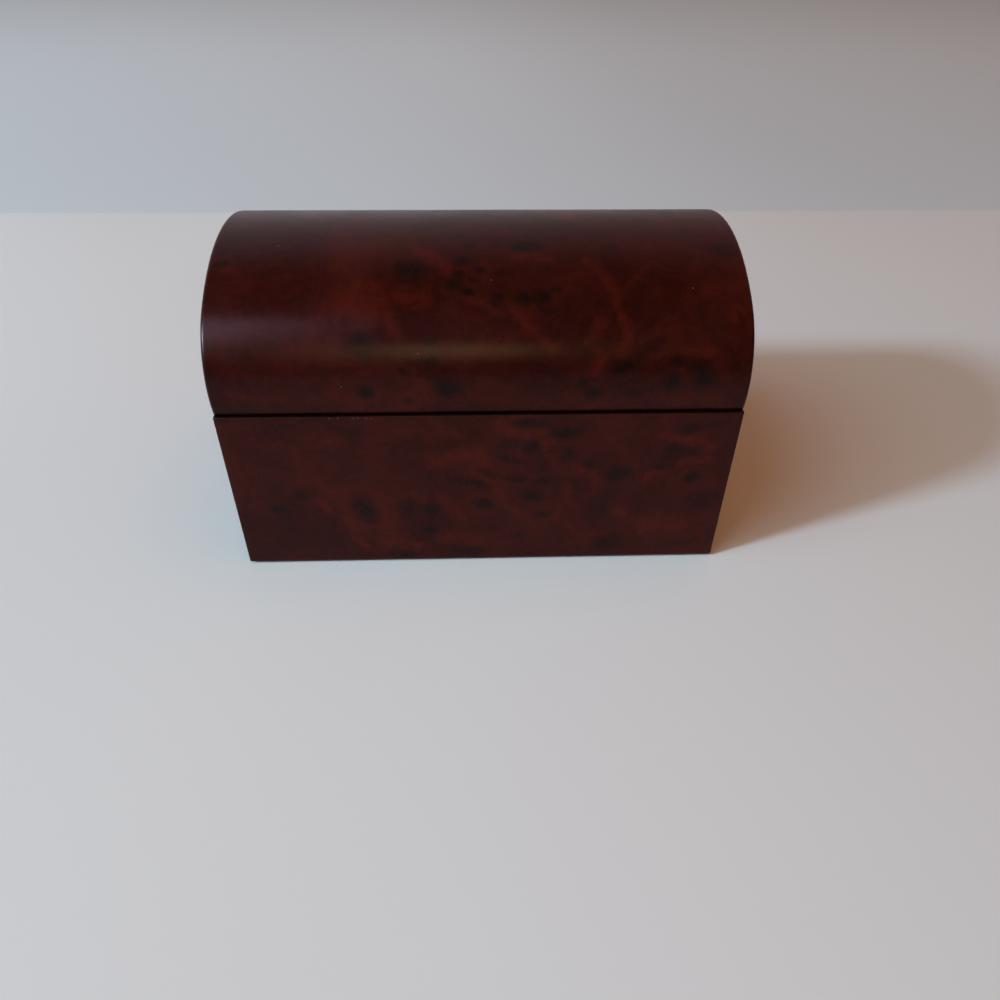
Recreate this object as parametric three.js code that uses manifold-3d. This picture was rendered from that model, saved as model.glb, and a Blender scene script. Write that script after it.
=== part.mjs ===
// A dome-topped casket: a veneered case with mitred walls and a cloth-covered lining, under a
// barrel lid that swings back on two brass stop hinges.
// Millimetres. The origin is at the middle of the felt underside. +X runs along the case to the
// right, +Y to the back and +Z up.
import * as THREE from 'three';
import Module from 'manifold-3d';
import { mergeVertices } from 'three/addons/utils/BufferGeometryUtils.js';

const wasm = await Module();
wasm.setup();

// Case
const CASE_LENGTH = 203;
const CASE_DEPTH = 126;
const CASE_HEIGHT = 74.5;
const WALL = 10;
const ARRIS = 0.8; // easing of the case's corners and of its foot
const FINE_ARRIS = 0.35; // easing of the case's rim and of the lid's outside edges
const MITRE_GAP = 0.2; // glue line across a mitred corner
const GLUE_LINE = 0.15; // glue line between flat bonded faces

// Floor, and the felt under it
const FLOOR_THICKNESS = 5;
const FLOOR_LAP = 5; // how far the floor board reaches into the walls' rebate
const FLOOR_PLAY = 0.3; // between the floor board's edge and the rebate
const FELT_THICKNESS = 0.8;
const FELT_INSET = 2;
const FELT_CORNER = 4;

// Lining of the case
const LINER = 4;
const LINER_PLAY = 0.25; // between a lining board and the wall it stands against
const LIP = 6; // how far the lining stands above the case's rim
const LIP_ROUND = 1.2; // rounding of the lip's top edges
const PAD_THICKNESS = 3.6;
const PAD_ROUND = 1.5; // rounding of the pad's edges
const PAD_CORNER = 3;
const PAD_PLAY = 0.4; // between the pad and the lining boards

// Lid
const LID_GAP = 0.4; // between the case's rim and the lid's
const LID_SETBACK = 0.4; // from the case's front and back to the lid's widest line
const SIDE_DROP = 7.8; // from the springing line down to the lid's rim
const CROWN_RISE = 43.4; // from the springing line up to the top
const SHOULDER_RADIUS = 35;
const CROWN_SHELL = 6.5; // thickness of the bent top
const END_BOARD = 9.5; // thickness of the two end boards
const CROWN_LINING = 1.3; // covered card bent inside the top
const END_LINING = 3; // padded panels inside the end boards, whose lower edges land on the lip
const LIP_CLEARANCE = 0.3; // left between the lip's top and the panels that land on it

// Stop hinges
const HINGE_LENGTH = 32;
const HINGE_INSET = 24; // from the case's end to a hinge's end
const KNUCKLES = 5;
const KNUCKLE_RADIUS = 2.1;
const KNUCKLE_PLAY = 0.3; // round and between knuckles of the two leaves
const BACK_CLEARANCE = 0.3; // between the barrel and the case's back
const LEAF_THICKNESS = 1.4;
const LEAF_LAP = 7.2; // how far a leaf reaches in from the case's back
const MORTISE_PLAY = 0.2;
const PIN_RADIUS = 0.9;
const PIN_PLAY = 0.1;
const PIN_DOME = 0.7; // height of the pin's rounded ends
const PIN_HEAD_RADIUS = 1.4;
const WING_REACH = 5; // from the pin's axis to the edge of a stop wing
const STOP_CLEARANCE = 0.3; // left between the wings when the lid is fully open
const OPEN_ANGLE = THREE.MathUtils.degToRad(100);

// Hinge screws
const SCREWS_PER_LEAF = 3;
const SCREW_SETBACK = 4.6; // from the case's back to the line of screws
const SCREW_PITCH = 11;
const SCREW_LENGTH = 8;
const SCREW_POINT = 2;
const SHANK_RADIUS = 0.95;
const HEAD_RADIUS = 1.8;
const HEAD_LAND = 0.25; // straight edge round a screw's head
const HEAD_CONE = 0.9; // height of the countersunk cone
const SLOT_WIDTH = 0.5;
const SLOT_DEPTH = 0.5;
const SLOT_TURN = THREE.MathUtils.degToRad(38); // from one screw's slot to the next
const SCREW_PLAY = 0.2;

// Facets
const SHOULDER_STEPS = 18;
const CROWN_STEPS = 24;
const CORNER_STEPS = 4;
const EASE_STEPS = 2;
const ROUND_SIDES = 28;
const SCREW_SIDES = 14;
const PIN_STEPS = 3;

const OVERRUN = 2; // how far a cutting tool runs past what it cuts

// Heights and places that follow from the sizes above
const caseFloor = FELT_THICKNESS + GLUE_LINE;
const rim = caseFloor + CASE_HEIGHT;
const boardTop = caseFloor + FLOOR_THICKNESS;
const lipTop = rim + LIP;
const lidRim = rim + LID_GAP;
const springing = lidRim + SIDE_DROP;
const liningFloor = lipTop + LIP_CLEARANCE;
const halfLength = CASE_LENGTH / 2;
const halfDepth = CASE_DEPTH / 2;
const hingeAxis = {
  y: halfDepth + BACK_CLEARANCE + KNUCKLE_RADIUS,
  z: rim + LID_GAP / 2,
};
const leafReach = hingeAxis.y - halfDepth + LEAF_LAP; // from the pin's axis to a leaf's edge
const screwLine = hingeAxis.y - halfDepth + SCREW_SETBACK; // from the pin's axis to the screws

// The lid's section is a three-centred arch. Each shoulder arc runs on below the springing line,
// and a flatter crown arc meets both shoulders at the line that joins their centres.
const shoulderReach = halfDepth - LID_SETBACK - SHOULDER_RADIUS;
const crownRadius =
  (shoulderReach ** 2 + CROWN_RISE ** 2 - SHOULDER_RADIUS ** 2) / (2 * (CROWN_RISE - SHOULDER_RADIUS));
const crownCentre = springing + CROWN_RISE - crownRadius;
const shoulderTurn = Math.atan2(springing - crownCentre, shoulderReach);

const COLOURS = {
  burl: { color: 0x3c1512, roughness: 0.32, metalness: 0 },
  core: { color: 0x2a1410, roughness: 0.5, metalness: 0 },
  suede: { color: 0xb79a78, roughness: 0.95, metalness: 0 },
  felt: { color: 0x1d1a18, roughness: 1, metalness: 0 },
  brass: { color: 0xb08a43, roughness: 0.3, metalness: 1 },
};

const materials = Object.fromEntries(
  Object.entries(COLOURS).map(([name, look]) => [name, new THREE.MeshStandardMaterial(look)]),
);

// Solids

function solid(geometry) {
  const bare = geometry.clone();
  bare.deleteAttribute('normal');
  bare.deleteAttribute('uv');
  const merged = mergeVertices(bare);
  return new wasm.Manifold(
    new wasm.Mesh({
      numProp: 3,
      vertProperties: new Float32Array(merged.attributes.position.array),
      triVerts: new Uint32Array(merged.index.array),
    }),
  );
}

function mesh(name, body, look) {
  const cut = body.getMesh();
  const geometry = new THREE.BufferGeometry();
  geometry.setAttribute('position', new THREE.BufferAttribute(new Float32Array(cut.vertProperties), 3));
  geometry.setIndex(new THREE.BufferAttribute(new Uint32Array(cut.triVerts), 1));
  geometry.computeVertexNormals();
  const made = new THREE.Mesh(geometry, materials[look]);
  made.name = name;
  return made;
}

function box(low, high) {
  const size = high.map((value, i) => value - low[i]);
  const geometry = new THREE.BoxGeometry(...size);
  geometry.translate(...low.map((value, i) => value + size[i] / 2));
  return solid(geometry);
}

const xAxis = new THREE.Vector3(1, 0, 0);
const yAxis = new THREE.Vector3(0, 1, 0);
const zAxis = new THREE.Vector3(0, 0, 1);

function extruded(outline, length, ease) {
  return new THREE.ExtrudeGeometry(new THREE.Shape(outline), {
    depth: length - 2 * ease,
    bevelEnabled: ease > 0,
    bevelThickness: ease,
    bevelSize: ease,
    bevelOffset: -ease,
    bevelSegments: EASE_STEPS,
  });
}

// An outline drawn in (y, z), run along X, with its end edges eased.
function alongX(outline, from, to, ease = 0) {
  const geometry = extruded(outline, to - from, ease);
  geometry.applyMatrix4(new THREE.Matrix4().makeBasis(yAxis, zAxis, xAxis).setPosition(from + ease, 0, 0));
  return solid(geometry);
}

// An outline drawn in (x, y), run up Z, with its end edges eased.
function alongZ(outline, from, to, ease = 0) {
  const geometry = extruded(outline, to - from, ease);
  geometry.translate(0, 0, from + ease);
  return solid(geometry);
}

// A cylinder along X, in a hinge's own frame.
function barAlongX(radius, from, to, sides = ROUND_SIDES) {
  const geometry = new THREE.CylinderGeometry(radius, radius, to - from, sides);
  geometry.rotateZ(-Math.PI / 2);
  geometry.translate((from + to) / 2, 0, 0);
  return solid(geometry);
}

// Outlines

const point = (a, b) => new THREE.Vector2(a, b);

function arc(centreA, centreB, radius, from, to, steps) {
  return Array.from({ length: steps + 1 }, (_, i) => {
    const angle = from + ((to - from) * i) / steps;
    return point(centreA + radius * Math.cos(angle), centreB + radius * Math.sin(angle));
  });
}

// A rectangle about the origin with rounded corners, the two upper ones to a radius of their own.
function roundedRectangle(halfA, halfB, lower, upper = lower) {
  return [0, 1, 2, 3].flatMap((quarter) => {
    const start = (quarter * Math.PI) / 2;
    const signA = quarter === 1 || quarter === 2 ? -1 : 1;
    const signB = quarter > 1 ? -1 : 1;
    const radius = signB > 0 ? upper : lower;
    return arc(
      signA * (halfA - radius), signB * (halfB - radius), radius, start, start + Math.PI / 2, CORNER_STEPS,
    );
  });
}

// The arch's line from the back to the front, set in from the lid's outside, cut off at height foot.
function archLine(inset, foot) {
  const shoulder = SHOULDER_RADIUS - inset;
  const below = Math.asin((springing - foot) / shoulder);
  const back = arc(shoulderReach, springing, shoulder, -below, shoulderTurn, SHOULDER_STEPS);
  const top = arc(0, crownCentre, crownRadius - inset, shoulderTurn, Math.PI - shoulderTurn, CROWN_STEPS);
  const front = arc(
    -shoulderReach, springing, shoulder, Math.PI - shoulderTurn, Math.PI + below, SHOULDER_STEPS,
  );
  return [...back, ...top.slice(1, -1), ...front];
}

// The outline under the arch, closed by a straight foot whose two corners may be eased.
function underArch(inset, foot, ease = 0) {
  const line = archLine(inset, foot + ease);
  if (ease === 0) return line;
  const corner = line[0].x;
  return [point(corner - ease, foot), ...line, point(ease - corner, foot)];
}

// Case walls

// The whole case as one block with every outside edge rounded: what a plan, a section and a front
// view share.
function caseBlock() {
  const halfHeight = CASE_HEIGHT / 2;
  const side = roundedRectangle(halfDepth, halfHeight, ARRIS, FINE_ARRIS);
  const section = alongX(side, -halfLength, halfLength);
  const plan = alongZ(roundedRectangle(halfLength, halfDepth, ARRIS), -halfHeight, halfHeight);
  const face = roundedRectangle(halfLength, halfHeight, ARRIS, FINE_ARRIS);
  const front = alongZ(face, -halfDepth, halfDepth);
  const upright = front.rotate([90, 0, 0]);
  return section.intersect(plan).intersect(upright).translate(0, 0, caseFloor + halfHeight);
}

// The plan of one wall, its ends mitred: half is half the wall's outside length, and out is the
// distance from the middle of the case to the wall's outside face.
function mitredPlan(half, out) {
  const glue = MITRE_GAP * Math.SQRT1_2;
  return [
    point(-half - OVERRUN + glue, -out - OVERRUN),
    point(half + OVERRUN - glue, -out - OVERRUN),
    point(half - WALL - glue, -out + WALL),
    point(-half + WALL + glue, -out + WALL),
  ];
}

const turned = (outline, angle) =>
  outline.map((p) => p.clone().rotateAround(point(0, 0), angle));

function floorRebate() {
  const x = halfLength - WALL + FLOOR_LAP;
  const y = halfDepth - WALL + FLOOR_LAP;
  return box([-x, -y, caseFloor - OVERRUN], [x, y, boardTop + GLUE_LINE]);
}

function wall(plan) {
  const slab = alongZ(plan, caseFloor - OVERRUN, rim + OVERRUN);
  return caseBlock().intersect(slab).subtract(floorRebate());
}

function frontWall() {
  return wall(mitredPlan(halfLength, halfDepth));
}

function endWall(side) {
  return wall(turned(mitredPlan(halfDepth, halfLength), (side * Math.PI) / 2));
}

// The back wall is the front one turned about, with a mortise and screw holes for each hinge.
function backWall() {
  const plain = wall(turned(mitredPlan(halfLength, halfDepth), Math.PI));
  return hingeSpots().reduce((body, x) => body.subtract(hingeCut(x, -1)), plain);
}

function floorBoard() {
  const x = halfLength - WALL + FLOOR_LAP - FLOOR_PLAY;
  const y = halfDepth - WALL + FLOOR_LAP - FLOOR_PLAY;
  return box([-x, -y, caseFloor], [x, y, boardTop]);
}

function feltSheet() {
  const outline = roundedRectangle(halfLength - FELT_INSET, halfDepth - FELT_INSET, FELT_CORNER);
  return alongZ(outline, 0, FELT_THICKNESS);
}

// Lining of the case

const linerFoot = boardTop + 2 * GLUE_LINE;
const linerOutX = halfLength - WALL - LINER_PLAY;
const linerOutY = halfDepth - WALL - LINER_PLAY;

// A lining board along X, standing on z = 0 with its outside face on y = 0 and its top edges rounded.
function liningBoard(length) {
  const height = lipTop - linerFoot;
  const outline = [
    point(0, 0),
    point(LINER, 0),
    ...arc(LINER - LIP_ROUND, height - LIP_ROUND, LIP_ROUND, 0, Math.PI / 2, CORNER_STEPS),
    ...arc(LIP_ROUND, height - LIP_ROUND, LIP_ROUND, Math.PI / 2, Math.PI, CORNER_STEPS),
  ];
  return alongX(outline, -length / 2, length / 2);
}

function placedBoard(name, length, out, quarterTurns) {
  const made = mesh(name, liningBoard(length), 'suede');
  const turn = (quarterTurns * Math.PI) / 2;
  made.rotation.z = turn;
  made.position.set(out * Math.sin(turn), -out * Math.cos(turn), linerFoot);
  return made;
}

function liningBoards() {
  const sideLength = 2 * (linerOutY - LINER - GLUE_LINE);
  return [
    placedBoard('lining_front', 2 * linerOutX, linerOutY, 0),
    placedBoard('lining_right', sideLength, linerOutX, 1),
    placedBoard('lining_back', 2 * linerOutX, linerOutY, 2),
    placedBoard('lining_left', sideLength, linerOutX, 3),
  ];
}

function floorPad() {
  const outline = roundedRectangle(
    linerOutX - LINER - PAD_PLAY, linerOutY - LINER - PAD_PLAY, PAD_CORNER,
  );
  const foot = boardTop + GLUE_LINE;
  return alongZ(outline, foot, foot + PAD_THICKNESS, PAD_ROUND);
}

// Lid

// The whole lid as one block under the arch, with its outside edges eased.
function lidBlock() {
  return alongX(underArch(0, lidRim, FINE_ARRIS), -halfLength, halfLength, FINE_ARRIS);
}

// The bent top: the block less all that lies inside the shell, and the hinges' mortises.
function crown() {
  const hollow = underArch(CROWN_SHELL, lidRim - OVERRUN);
  const shell = lidBlock().subtract(alongX(hollow, -halfLength - OVERRUN, halfLength + OVERRUN));
  return hingeSpots().reduce((body, x) => body.subtract(hingeCut(x, 1)), shell);
}

// An end board fills the shell's end, flush with the outside.
function endBoard(side) {
  const inside = alongX(
    underArch(CROWN_SHELL + GLUE_LINE, lidRim - OVERRUN),
    side > 0 ? halfLength - END_BOARD : -halfLength - OVERRUN,
    side > 0 ? halfLength + OVERRUN : END_BOARD - halfLength,
  );
  return lidBlock().intersect(inside);
}

const liningInset = CROWN_SHELL + GLUE_LINE;
const endLiningOut = halfLength - END_BOARD - GLUE_LINE;
const crownLiningOut = endLiningOut - END_LINING - GLUE_LINE;

function crownLining() {
  const outer = underArch(liningInset, liningFloor);
  const hollow = underArch(liningInset + CROWN_LINING, liningFloor - OVERRUN);
  return alongX(outer, -crownLiningOut, crownLiningOut).subtract(
    alongX(hollow, -crownLiningOut - OVERRUN, crownLiningOut + OVERRUN),
  );
}

function endLining(side) {
  const outline = underArch(liningInset, liningFloor);
  const near = side * endLiningOut;
  const far = side * (endLiningOut - END_LINING);
  return alongX(outline, Math.min(near, far), Math.max(near, far));
}

// Hinges. In a hinge's own frame the pin lies along X through the origin, -Y runs in over the rim,
// and half is -1 for the case's leaf below the pin and 1 for the lid's above it.

function hingeSpots() {
  const out = halfLength - HINGE_INSET - HINGE_LENGTH / 2;
  return [-out, out];
}

function screwSpots() {
  return Array.from(
    { length: SCREWS_PER_LEAF },
    (_, i) => (i - (SCREWS_PER_LEAF - 1) / 2) * SCREW_PITCH,
  );
}

// The knuckles of one leaf, as stretches along the pin: the case's leaf has the odd ones out.
function knuckleSpans(half, grow) {
  const pitch = HINGE_LENGTH / KNUCKLES;
  return Array.from({ length: KNUCKLES }, (_, i) => i)
    .filter((i) => (i % 2 === 0) === (half < 0))
    .map((i) => [-HINGE_LENGTH / 2 + i * pitch - grow, -HINGE_LENGTH / 2 + (i + 1) * pitch + grow]);
}

// A slab between two heights on one side of the pin.
function halfSlab(half, x, yLow, yHigh, near, far) {
  const heights = [half * near, half * far].sort((a, b) => a - b);
  return box([-x, yLow, heights[0]], [x, yHigh, heights[1]]);
}

// Each wing leans back from the pin at half the opening angle, so the two meet when the lid is open.
function stopWing(half) {
  const lean = (OPEN_ANGLE + STOP_CLEARANCE / WING_REACH) / 2;
  const geometry = new THREE.BoxGeometry(HINGE_LENGTH, WING_REACH, LEAF_THICKNESS);
  geometry.translate(0, WING_REACH / 2, (half * LEAF_THICKNESS) / 2);
  geometry.rotateX(half * lean);
  return solid(geometry);
}

function countersink(half) {
  const top = LID_GAP / 2;
  const outline = [
    point(0, -OVERRUN),
    point(HEAD_RADIUS + SCREW_PLAY, -OVERRUN),
    point(HEAD_RADIUS + SCREW_PLAY, HEAD_LAND),
    point(SHANK_RADIUS + SCREW_PLAY, HEAD_LAND + HEAD_CONE),
    point(SHANK_RADIUS + SCREW_PLAY, SCREW_LENGTH + SCREW_PLAY),
    point(0, SCREW_LENGTH + SCREW_PLAY),
  ];
  const geometry = new THREE.LatheGeometry(outline, SCREW_SIDES);
  geometry.rotateX((half * Math.PI) / 2);
  geometry.translate(0, -screwLine, half * top);
  return solid(geometry);
}

function withScrewHoles(body, half) {
  return screwSpots().reduce((part, x) => part.subtract(countersink(half).translate(x, 0, 0)), body);
}

function leaf(half) {
  const top = LID_GAP / 2;
  const plate = halfSlab(half, HINGE_LENGTH / 2, -leafReach, 0, top, top + LEAF_THICKNESS);
  const relief = knuckleSpans(-half, KNUCKLE_PLAY / 2).map(([from, to]) =>
    barAlongX(KNUCKLE_RADIUS + KNUCKLE_PLAY, from, to),
  );
  const knuckles = knuckleSpans(half, -KNUCKLE_PLAY / 2).map(([from, to]) =>
    barAlongX(KNUCKLE_RADIUS, from, to),
  );
  const sheet = relief.reduce((body, bar) => body.subtract(bar), plate.add(stopWing(half)));
  const bored = knuckles
    .reduce((body, bar) => body.add(bar), sheet)
    .subtract(barAlongX(PIN_RADIUS + PIN_PLAY, -HINGE_LENGTH, HINGE_LENGTH));
  return withScrewHoles(bored, half);
}

// What a leaf and its screws take out of the wood round x.
function hingeCut(x, half) {
  const top = LID_GAP / 2;
  const pocket = halfSlab(
    half, HINGE_LENGTH / 2 + MORTISE_PLAY, -leafReach - MORTISE_PLAY, OVERRUN,
    0, top + LEAF_THICKNESS + MORTISE_PLAY,
  );
  const holes = screwSpots().reduce(
    (body, along) => body.add(countersink(half).translate(along, 0, 0)), pocket,
  );
  return holes.translate(x, hingeAxis.y, hingeAxis.z);
}

function pin() {
  const half = HINGE_LENGTH / 2;
  const dome = (end) =>
    arc(0, 0, 1, 0, Math.PI / 2, PIN_STEPS).map((p) => {
      const along = half + GLUE_LINE + PIN_DOME * p.y;
      return point(PIN_HEAD_RADIUS * p.x, end * along);
    });
  const upper = dome(1);
  const lower = dome(-1).reverse();
  lower[0].x = 0;
  upper[PIN_STEPS].x = 0;
  const outline = [
    ...lower,
    point(PIN_RADIUS, -half - GLUE_LINE),
    point(PIN_RADIUS, half + GLUE_LINE),
    ...upper,
  ];
  const geometry = new THREE.LatheGeometry(outline, ROUND_SIDES);
  geometry.rotateZ(-Math.PI / 2);
  return solid(geometry);
}

function screw() {
  const outline = [
    point(0, -SCREW_LENGTH),
    point(SHANK_RADIUS, SCREW_POINT - SCREW_LENGTH),
    point(SHANK_RADIUS, -HEAD_LAND - HEAD_CONE),
    point(HEAD_RADIUS, -HEAD_LAND),
    point(HEAD_RADIUS, 0),
    point(0, 0),
  ];
  const geometry = new THREE.LatheGeometry(outline, SCREW_SIDES);
  geometry.rotateX(Math.PI / 2);
  const reach = HEAD_RADIUS + OVERRUN;
  const slot = box([-reach, -SLOT_WIDTH / 2, -SLOT_DEPTH], [reach, SLOT_WIDTH / 2, OVERRUN]);
  return solid(geometry).subtract(slot);
}

// A leaf's screws sit flush with its inner face: the case's point down and the lid's point up.
// Each is turned a little further than the last, as screws driven by hand end up.
function leafScrews(prefix, half) {
  return screwSpots().map((x, i) => {
    const made = mesh(`${prefix}_screw_${i + 1}`, screw(), 'brass');
    made.rotation.set(half > 0 ? Math.PI : 0, 0, i * SLOT_TURN);
    made.position.set(x, -screwLine, (half * LID_GAP) / 2);
    return made;
  });
}

function hinge(name, x) {
  const group = new THREE.Group();
  group.position.set(x, hingeAxis.y, hingeAxis.z);
  group.add(
    mesh(`${name}_case_leaf`, leaf(-1), 'brass'),
    mesh(`${name}_lid_leaf`, leaf(1), 'brass'),
    mesh(`${name}_pin`, pin(), 'brass'),
    ...leafScrews(`${name}_case`, -1),
    ...leafScrews(`${name}_lid`, 1),
  );
  return group;
}

// Assembly

const casket = new THREE.Group();

const caseGroup = new THREE.Group();
caseGroup.add(
  mesh('front_wall', frontWall(), 'burl'),
  mesh('back_wall', backWall(), 'burl'),
  mesh('left_wall', endWall(-1), 'burl'),
  mesh('right_wall', endWall(1), 'burl'),
  mesh('floor_board', floorBoard(), 'core'),
  mesh('underside_felt', feltSheet(), 'felt'),
  ...liningBoards(),
  mesh('floor_pad', floorPad(), 'suede'),
);

const lidGroup = new THREE.Group();
lidGroup.add(
  mesh('lid_crown', crown(), 'burl'),
  mesh('lid_left_end', endBoard(-1), 'burl'),
  mesh('lid_right_end', endBoard(1), 'burl'),
  mesh('lid_crown_lining', crownLining(), 'suede'),
  mesh('lid_left_lining', endLining(-1), 'suede'),
  mesh('lid_right_lining', endLining(1), 'suede'),
);

const [leftSpot, rightSpot] = hingeSpots();
casket.add(caseGroup, lidGroup, hinge('left_hinge', leftSpot), hinge('right_hinge', rightSpot));

export default casket;
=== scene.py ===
"""The looks of a dome-topped burl casket, modelled round its fixed frame: the veneered case and
lid, the suede lining, the felt underside, the brass hinges and the table that it stands on."""

import math
import random

import bmesh
import bpy
import numpy as np
from mathutils import Matrix, Quaternion, Vector


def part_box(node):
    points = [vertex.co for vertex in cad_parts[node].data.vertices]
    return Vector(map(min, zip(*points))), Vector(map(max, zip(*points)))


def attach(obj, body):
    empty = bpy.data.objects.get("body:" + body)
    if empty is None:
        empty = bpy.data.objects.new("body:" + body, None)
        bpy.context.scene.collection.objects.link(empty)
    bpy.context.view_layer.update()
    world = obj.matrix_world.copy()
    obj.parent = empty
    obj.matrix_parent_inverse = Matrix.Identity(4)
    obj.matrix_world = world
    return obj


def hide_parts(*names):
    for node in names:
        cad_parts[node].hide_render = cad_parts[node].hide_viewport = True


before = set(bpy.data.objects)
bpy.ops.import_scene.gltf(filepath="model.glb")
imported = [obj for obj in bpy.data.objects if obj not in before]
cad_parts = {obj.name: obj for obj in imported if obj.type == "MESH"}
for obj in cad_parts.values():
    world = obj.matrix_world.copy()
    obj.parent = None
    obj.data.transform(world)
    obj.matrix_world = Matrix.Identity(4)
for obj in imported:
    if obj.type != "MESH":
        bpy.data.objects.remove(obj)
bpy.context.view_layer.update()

bl_info = {
    "name": "Burl casket",
    "version": (1, 0, 0),
    "blender": (4, 5, 0),
    "location": "3D View > Sidebar > Casket",
    "description": "A dome-topped burl casket with a suede lining",
    "category": "Object",
}

MM = 0.001

# Where the frame's pieces are
FRONT_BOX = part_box("front_wall")
LEFT_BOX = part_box("left_wall")
BACK_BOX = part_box("back_wall")
RIGHT_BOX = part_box("right_wall")
FLOOR_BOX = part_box("floor_board")
CROWN_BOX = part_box("lid_crown")
END_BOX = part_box("lid_right_end")
CASE_LOW = Vector((LEFT_BOX[0].x, FRONT_BOX[0].y, FRONT_BOX[0].z))
CASE_HIGH = Vector((RIGHT_BOX[1].x, BACK_BOX[1].y, FRONT_BOX[1].z))
HINGES = ("left_hinge", "right_hinge")
X, Y, Z = Matrix.Identity(3)

# Directions of the four walls: name and the way the wall faces
WALLS = (("front_wall", -Y), ("right_wall", X), ("back_wall", Y), ("left_wall", -X))

# Points closer than this are merged
MERGE = 1e-7

# Points closer than this to a plane lie on it, with a wider allowance for faces and arcs made by
# a modifier
TOUCH = 1e-6
ON_FACE = 0.05 * MM

# An edge with a greater angle between its two faces is sharp, and an edge with a greater cosine to
# a direction runs along it
SHARP = math.radians(50)
ALONG = 0.9999

# Figure of the burl as it was read off, in pixels of the thousand-pixel picture. Each eye or
# patch is an ellipse: its middle, half its length, half its width, its turn in degrees clockwise
# from level, and its strength from 0 to 1.
LID_EYES = (
    (222, 252, 6, 4, 0, 0.6), (221, 264, 7, 4, 0, 0.8), (251, 234, 12, 6, 0, 0.3),
    (292, 234, 10, 5, 0, 0.25), (346, 322, 7, 5, 10, 0.4), (359, 340, 12, 8, 0, 0.9),
    (363, 353, 9, 6, 0, 0.7), (241, 354, 14, 7, 5, 0.5), (366, 393, 9, 6, 5, 1.0),
    (292, 400, 8, 5, 0, 0.3), (314, 396, 9, 5, 0, 0.3), (410, 271, 15, 11, 0, 0.85),
    (457, 237, 9, 3, 0, 0.5), (469, 245, 6, 5, 0, 0.7), (495, 240, 6, 3, 0, 0.5),
    (495, 246, 5, 3, 0, 0.5), (524, 246, 17, 5, 5, 0.9), (462, 261, 9, 5, 5, 0.9),
    (479, 270, 6, 4, 10, 0.7), (459, 274, 7, 4, 5, 0.8), (474, 281, 4, 3, 0, 0.9),
    (455, 284, 9, 6, 20, 0.8), (469, 292, 7, 4, 10, 1.0), (442, 299, 5, 5, 0, 0.4),
    (504, 273, 10, 4, 0, 0.6), (498, 297, 6, 4, -10, 0.9), (496, 304, 4, 4, 0, 0.9),
    (523, 298, 8, 6, 0, 1.0), (542, 297, 9, 8, 0, 0.9), (556, 289, 5, 4, 20, 0.9),
    (546, 311, 8, 5, 0, 0.6), (556, 309, 5, 3, -20, 0.7), (478, 310, 7, 3, 0, 0.35),
    (431, 342, 7, 4, 0, 0.8), (430, 360, 8, 6, 0, 0.95), (402, 372, 5, 4, 0, 0.7),
    (454, 371, 4, 3, 0, 0.35), (448, 389, 12, 8, 0, 1.0), (408, 401, 5, 4, 0, 0.8),
    (550, 372, 13, 5, 32, 0.7), (556, 396, 8, 11, 0, 0.3), (332, 372, 30, 7, 0, 0.35),
    (619, 369, 8, 8, 0, 0.9), (630, 365, 7, 6, 0, 0.85), (593, 394, 8, 6, 0, 1.0),
    (582, 383, 6, 5, 0, 0.9), (634, 394, 7, 5, 0, 0.75), (672, 382, 9, 8, 0, 0.85),
    (651, 387, 10, 5, 0, 0.4), (701, 368, 11, 8, 20, 0.8), (705, 379, 11, 9, 10, 0.95),
    (679, 361, 9, 5, 0, 0.8), (722, 249, 12, 7, 0, 0.6), (694, 245, 10, 4, 5, 0.35),
    (698, 220, 9, 4, 0, 0.3), (644, 218, 9, 4, 0, 0.35), (649, 349, 22, 6, -28, 0.7),
    (646, 372, 30, 12, -10, 0.35), (715, 273, 16, 8, 10, 0.3), (649, 405, 8, 3, 0, 0.35),
    (372, 236, 18, 5, 0, 0.25), (560, 226, 20, 4, 0, 0.25), (610, 247, 8, 5, 0, 0.25),
    (702, 322, 38, 24, 0, 0.27), (484, 292, 58, 24, 5, 0.2), (250, 300, 30, 14, 0, 0.2),
)
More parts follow.
